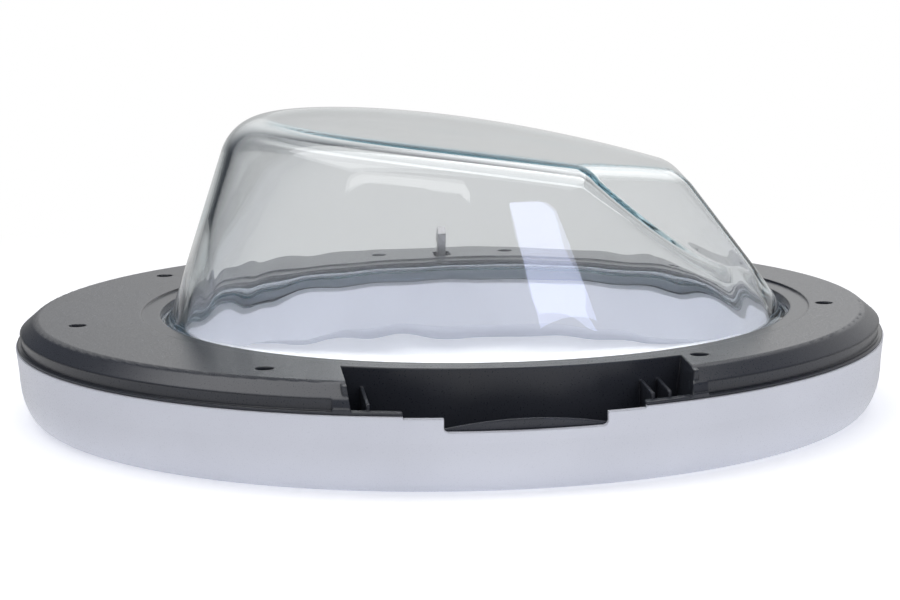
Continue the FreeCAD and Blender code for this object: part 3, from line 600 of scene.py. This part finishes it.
    def build(self, material: bpy.types.Material) -> bpy.types.Object:
        """Models the bowl in place of its solid and dresses it.

        Args:
            material: The pressed glass.

        Returns:
            The finished bowl.
        """
        outer_foot = self.foot(self.wall_at(self.flange_top), self.flange_top, self.foot_round)
        inner_foot = self.foot(self.wall_at(self.seat, self.thickness), self.seat, self.inner_round)
        core = self.core()
        outer = self.skin(core, self.rounding, outer_foot[0][1])
        inner = self.skin(core, self.rounding - self.thickness, inner_foot[0][1])
        bpy.data.objects.remove(core)
        self.ripple(inner)
        self.sweep(outer, outer_foot + self.brim())
        self.sweep(inner, inner_foot)
        activate(inner)
        bpy.ops.object.mode_set(mode="EDIT")
        bpy.ops.mesh.select_all(action="SELECT")
        bpy.ops.mesh.flip_normals()
        bpy.ops.object.mode_set(mode="OBJECT")
        activate(outer)
        inner.select_set(True)
        bpy.ops.object.join()
        glass = bpy.context.object
        glass.name = glass.data.name = "pressed_glass_bowl"
        bpy.ops.object.mode_set(mode="EDIT")
        bpy.ops.mesh.select_all(action="DESELECT")
        bpy.ops.mesh.select_non_manifold()
        bpy.ops.mesh.bridge_edge_loops()
        bpy.ops.mesh.select_all(action="SELECT")
        bpy.ops.mesh.normals_make_consistent(inside=False)
        bpy.ops.object.mode_set(mode="OBJECT")
        bpy.ops.object.shade_smooth_by_angle(angle=math.radians(self.smooth_angle))
        dress(glass, material)
        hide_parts("glass_bowl")
        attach(glass, DOOR_BODY)
        return glass


@dataclass(frozen=True)
class DressedNodes:
    """Solids whose shape is right as it stands, and that take their slot's finish."""

    title: str
    slot: Slot
    nodes: tuple[str, ...]

    def build(self, material: bpy.types.Material) -> None:
        """Dresses the solids.

        Args:
            material: Their finish.
        """
        for name in self.nodes:
            dress(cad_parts[name], material)
        LOG.info("%s: %d solids in %s", self.title, len(self.nodes), material.name)


# The door's solids, all but the glass, in groups that share a finish.
SOLIDS = (
    DressedNodes("outer frame", Slot.WHITE, ("outer_frame",)),
    DressedNodes("inner frame", Slot.GREY, ("inner_frame",)),
    DressedNodes("pull handle", Slot.WHITE, ("door_handle",)),
    DressedNodes("latch bracket", Slot.BLACK, ("latch_carrier",)),
    DressedNodes("latch hook", Slot.HOOK, ("latch_hook",)),
    DressedNodes("pins and plate", Slot.ZINC, ("hook_pin", "handle_pin", "hinge_plate")),
    DressedNodes("springs", Slot.SPRING, ("hook_spring", "handle_spring")),
    DressedNodes("screws", Slot.SCREW, ("frame_screws", "latch_screws")),
)


@dataclass(frozen=True)
class Softbox:
    """A soft lamp: its place, the point it faces, its size, its power and whether it mirrors."""

    name: str
    place: tuple[float, float, float]
    aim: tuple[float, float, float]
    size: tuple[float, float]
    power: float
    mirrored: bool = True
    tone: str = "#ffffff"

    def build(self) -> None:
        """Hangs the lamp in the studio."""
        lamp = bpy.data.lights.new(self.name, "AREA")
        lamp.shape = "RECTANGLE"
        lamp.size, lamp.size_y = self.size
        lamp.energy = self.power
        lamp.color = linear(self.tone)[:3]
        holder = bpy.data.objects.new(self.name, lamp)
        holder.location = self.place
        back = Vector(self.place) - Vector(self.aim)
        holder.rotation_euler = back.to_track_quat("Z", "Y").to_euler()
        holder.visible_camera = False
        holder.visible_glossy = holder.visible_transmission = self.mirrored
        bpy.context.scene.collection.objects.link(holder)


@dataclass(frozen=True)
class MirroredPanel:
    """A bright panel in front of the door that only shows as a reflection in the glass."""

    name: str
    corners: tuple[tuple[float, float, float], ...]
    tone: str
    strength: float

    def build(self) -> None:
        """Hangs the panel as a part of the stage."""
        deselect()
        bpy.ops.mesh.primitive_plane_add(size=1.0)
        panel = bpy.context.object
        panel.name = self.name
        for vertex, index in zip(panel.data.vertices, PLANE_ORDER):
            vertex.co = self.corners[index]
        material = new_material(f"lit_{self.name}")
        tree = material.node_tree
        glow = add_node(tree, "ShaderNodeEmission",
                        {"Color": linear(self.tone), "Strength": self.strength})
        add_node(tree, "ShaderNodeOutputMaterial", links={"Surface": glow.outputs["Emission"]})
        dress(panel, material)
        panel.visible_camera = panel.visible_diffuse = panel.visible_shadow = False


@dataclass(frozen=True)
class Studio:
    """Pale floor, white surroundings, soft lamps and the camera, in metres and degrees."""

    # Camera
    target: tuple[float, float, float] = (0.0, 0.0, 0.039)
    distance: float = 1.6
    azimuth: float = -5.4
    elevation: float = 9.93
    roll: float = 0.85
    focal_px: float = 2923.7
    shift_px: tuple[float, float] = (0.5, 30.3)
    view_depth: float = 100.0
    # Floor, with its fades measured from the middle of the door
    floor_size: float = 30.0
    floor_tone: str = "#f2f3f6"
    floor_glow: float = 0.42
    inside_glow: float = 0.36
    glow_fade: tuple[float, float] = (0.16, 0.23)
    floor_fade: tuple[float, float] = (0.32, 0.75)
    window_fade: tuple[float, float] = (0.20, 0.26)
    left_fade: tuple[float, float] = (-1.6, -0.3)
    left_level: float = 0.28
    # Backdrop in a dim room, as glass and gloss show them
    sky_tone: str = "#ffffff"
    room_tone: str = "#484b51"
    backdrop_way: tuple[float, float, float] = (0.50, 0.865, 0.05)
    backdrop_reach: tuple[float, float] = (0.60, 0.97)
    backdrop_rise: tuple[float, float] = (0.07, 0.15)
    backdrop_level: float = 0.63
    backdrop_peak: float = 1.15
    right_fade: tuple[float, float] = (0.30, 0.60)
    right_level: float = 0.5
    # Plain light, with more of it for what lies under the glass
    fill_tone: str = "#f5f2f4"
    fill_strength: float = 0.25
    inside_boost: float = 1.50
    # Light that runs along inside the glass needs many bounces
    glass_bounces: int = 96
    lamps: tuple[Softbox, ...] = (
        Softbox("ceiling_softbox", place=(-0.3, 0.4, 2.2), aim=(-0.3, 0.4, 0.0),
                size=(3.4, 2.0), power=43.0),
        Softbox("front_softbox", place=(0.5, -2.4, 1.2), aim=(0.0, 0.0, 0.05),
                size=(1.6, 1.2), power=8.5, mirrored=False),
        Softbox("low_softbox", place=(0.6, -2.6, 0.5), aim=(0.0, 0.0, 0.05),
                size=(1.6, 0.7), power=6.0, mirrored=False),
    )
    panels: tuple[MirroredPanel, ...] = (
        MirroredPanel("window_panel", tone="#d5dcff", strength=5.0,
                      corners=((0.25, -1.4, 0.85), (0.74, -1.4, 0.91),
                               (1.23, -1.4, 0.83), (0.48, -1.4, 0.72))),
        MirroredPanel("left_panel", tone="#ffffff", strength=2.0,
                      corners=((-3.03, -1.4, 1.62), (-3.3, -1.4, 3.6),
                               (-0.16, -1.4, 2.0), (-0.165, -1.4, 0.86))),
    )

    def camera(self) -> None:
        """Sets the camera at the photograph's angle."""
        data = bpy.data.cameras.new("camera")
        data.sensor_width = SENSOR_WIDTH
        data.lens = self.focal_px / IMAGE_WIDTH * SENSOR_WIDTH
        data.shift_x, data.shift_y = (pixels / IMAGE_WIDTH for pixels in self.shift_px)
        data.clip_end = self.view_depth
        turn, lift = math.radians(self.azimuth), math.radians(self.elevation)
        back = Vector((math.sin(turn) * math.cos(lift), -math.cos(turn) * math.cos(lift),
                       math.sin(lift)))
        holder = bpy.data.objects.new("camera", data)
        place = Matrix.Translation(Vector(self.target) + back * self.distance)
        facing = back.to_track_quat("Z", "Y").to_matrix().to_4x4()
        spin = Matrix.Rotation(math.radians(-self.roll), 4, "Z")
        holder.matrix_world = place @ facing @ spin
        bpy.context.scene.collection.objects.link(holder)
        bpy.context.scene.camera = holder

    def floor(self) -> None:
        """Lays a pale floor that glows like a light table, keeps the shadow and ends in white."""
        deselect()
        bpy.ops.mesh.primitive_plane_add(size=self.floor_size, location=(0.0, 0.0, 0.0))
        floor = bpy.context.object
        floor.name = "floor"
        material = new_material("pale_matt_light_table")
        tree = material.node_tree
        path = add_node(tree, "ShaderNodeLightPath")
        camera = path.outputs["Is Camera Ray"]
        direct = self.first_look(tree, path)
        place = add_node(tree, "ShaderNodeTexCoord").outputs["Object"]
        reach = add_node(tree, "ShaderNodeVectorMath", {"operation": "LENGTH"},
                         {0: place}).outputs["Value"]
        sideways = add_node(tree, "ShaderNodeSeparateXYZ", links={"Vector": place}).outputs["X"]
        open_fade, glass_fade = (
            add_node(tree, "ShaderNodeMapRange",
                     {"interpolation_type": "SMOOTHSTEP", "From Min": low, "From Max": high},
                     {"Value": reach}).outputs["Result"]
            for low, high in (self.floor_fade, self.window_fade))
        far = add_node(tree, "ShaderNodeMix",
                       links={"Factor": camera, "A": glass_fade, "B": open_fade})
        white = add_node(tree, "ShaderNodeMath", {"operation": "MULTIPLY"},
                         {0: direct, 1: far.outputs["Result"]})
        dim = add_node(tree, "ShaderNodeMapRange",
                       {"From Min": self.left_fade[0], "From Max": self.left_fade[1],
                        "To Min": self.left_level, "To Max": self.backdrop_level},
                       {"Value": sideways})
        level = add_node(tree, "ShaderNodeMix", {"B": 1.0},
                         {"Factor": camera, "A": dim.outputs["Result"]})
        paint = add_node(tree, "ShaderNodeBsdfDiffuse", {"Color": linear(self.floor_tone)})
        under = add_node(tree, "ShaderNodeMapRange",
                         {"interpolation_type": "SMOOTHSTEP", "From Min": self.glow_fade[0],
                          "From Max": self.glow_fade[1], "To Min": self.inside_glow,
                          "To Max": self.floor_glow}, {"Value": reach})
        glow = add_node(tree, "ShaderNodeEmission", {"Color": linear(self.floor_tone)},
                        {"Strength": under.outputs["Result"]})
        near = add_node(tree, "ShaderNodeAddShader",
                        links={0: paint.outputs["BSDF"], 1: glow.outputs["Emission"]})
        backdrop = add_node(tree, "ShaderNodeEmission", {"Color": linear(self.sky_tone)},
                            {"Strength": level.outputs["Result"]})
        whole = add_node(tree, "ShaderNodeMixShader",
                         links={0: white.outputs["Value"], 1: near.outputs["Shader"],
                                2: backdrop.outputs["Emission"]})
        add_node(tree, "ShaderNodeOutputMaterial", links={"Surface": whole.outputs["Shader"]})
        dress(floor, material)

    @staticmethod
    def first_look(tree: bpy.types.NodeTree, path: bpy.types.Node) -> bpy.types.NodeSocket:
        """Tells looks at the stage, also mirrored or through glass, from light on a surface.

        Args:
            tree: The node tree.
            path: Its Light Path node.

        Returns:
            A socket that is 1 for a look and 0 for light.
        """
        node = add_node(tree, "ShaderNodeMath", {"operation": "LESS_THAN", 1: FIRST_DIFFUSE},
                        {0: path.outputs["Diffuse Depth"]})
        return node.outputs["Value"]

    def world(self) -> None:
        """Surrounds the door with a white backdrop in a dim room, and gives a plain fill light."""
        world = bpy.data.worlds.new("studio")
        bpy.context.scene.world = world
        world.use_nodes = True
        tree = world.node_tree
        tree.nodes.clear()
        path = add_node(tree, "ShaderNodeLightPath")
        way = add_node(tree, "ShaderNodeTexCoord").outputs["Generated"]
        ahead = add_node(tree, "ShaderNodeVectorMath",
                         {"operation": "DOT_PRODUCT", 1: self.backdrop_way}, {0: way})
        patch = add_node(tree, "ShaderNodeMapRange",
                         {"interpolation_type": "SMOOTHSTEP", "From Min": self.backdrop_reach[0],
                          "From Max": self.backdrop_reach[1]}, {"Value": ahead.outputs["Value"]})
        axes = add_node(tree, "ShaderNodeSeparateXYZ", links={"Vector": way})
        lift = add_node(tree, "ShaderNodeMapRange",
                        {"interpolation_type": "SMOOTHSTEP", "From Min": self.backdrop_rise[0],
                         "From Max": self.backdrop_rise[1], "To Min": self.backdrop_level,
                         "To Max": self.backdrop_peak}, {"Value": axes.outputs["Z"]})
        right = add_node(tree, "ShaderNodeMapRange",
                         {"interpolation_type": "SMOOTHSTEP", "From Min": self.right_fade[0],
                          "From Max": self.right_fade[1], "To Min": 1.0,
                          "To Max": self.right_level}, {"Value": axes.outputs["X"]})
        level = add_node(tree, "ShaderNodeMath", {"operation": "MULTIPLY"},
                         {0: lift.outputs["Result"], 1: right.outputs["Result"]})
        sides = add_node(tree, "ShaderNodeValToRGB", links={"Fac": patch.outputs["Result"]})
        two_stop_ramp(sides, linear(self.room_tone), linear(self.sky_tone), 0.0, 1.0)
        light = add_node(tree, "ShaderNodeMath",
                         {"operation": "MULTIPLY_ADD", 1: self.inside_boost,
                          2: self.fill_strength}, {0: path.outputs["Is Transmission Ray"]})
        fill = add_node(tree, "ShaderNodeBackground", {"Color": linear(self.fill_tone)},
                        {"Strength": light.outputs["Value"]})
        room = add_node(tree, "ShaderNodeBackground",
                        links={"Color": sides.outputs["Color"], "Strength": level.outputs["Value"]})
        backdrop = add_node(tree, "ShaderNodeBackground", {"Color": linear(self.sky_tone)})
        inner = add_node(tree, "ShaderNodeMixShader",
                         links={0: self.first_look(tree, path), 1: fill.outputs["Background"],
                                2: room.outputs["Background"]})
        outer = add_node(tree, "ShaderNodeMixShader",
                         links={0: path.outputs["Is Camera Ray"], 1: inner.outputs["Shader"],
                                2: backdrop.outputs["Background"]})
        add_node(tree, "ShaderNodeOutputWorld", links={"Surface": outer.outputs["Shader"]})

    def build(self) -> None:
        """Builds the whole studio."""
        bpy.context.scene.view_settings.view_transform = "Standard"
        paths = bpy.context.scene.cycles
        paths.max_bounces = self.glass_bounces
        paths.transmission_bounces = paths.glossy_bounces = self.glass_bounces
        self.camera()
        self.floor()
        self.world()
        for fitting in self.lamps + self.panels:
            fitting.build()
        LOG.info("studio: %d lamps and %d panels", len(self.lamps), len(self.panels))


def main() -> None:
    """Builds and dresses each sub-assembly in order."""
    logging.basicConfig(level=logging.INFO, format="%(name)s %(message)s")
    deselect()
    materials = {slot: finish.material() for slot, finish in FINISHES.items()}
    glass = GlassBowl().build(materials[Slot.GLASS])
    LOG.info("%s: %d faces", glass.name, len(glass.data.polygons))
    for solids in SOLIDS:
        solids.build(materials[solids.slot])
    Studio().build()


if __name__ == "__main__":
    main()
